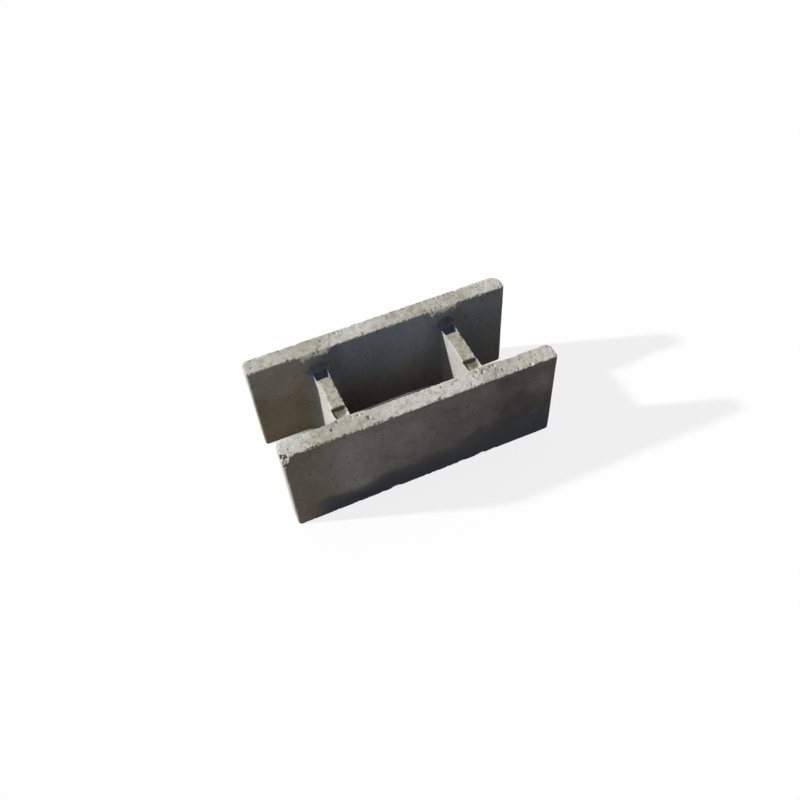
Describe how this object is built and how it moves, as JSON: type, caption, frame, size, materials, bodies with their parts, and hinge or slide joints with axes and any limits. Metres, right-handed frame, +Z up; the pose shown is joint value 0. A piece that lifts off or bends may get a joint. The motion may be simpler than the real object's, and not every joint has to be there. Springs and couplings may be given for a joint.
{
  "type": "concrete shuttering block",
  "caption": "Hollow cast concrete wall block with long face shells joined by lowered webs, stacked dry and filled with poured concrete.",
  "frame": {"origin": "middle of the underside, at the centre of the footprint", "axes": "+X along the block's length, +Y towards the face shell with the holes, +Z up"},
  "size_m": [0.5, 0.228, 0.2],
  "materials": {
    "concrete": "rough grey cast concrete with dark damp stains"
  },
  "bodies": {
    "root": {"block": "concrete"}
  },
  "joints": []
}
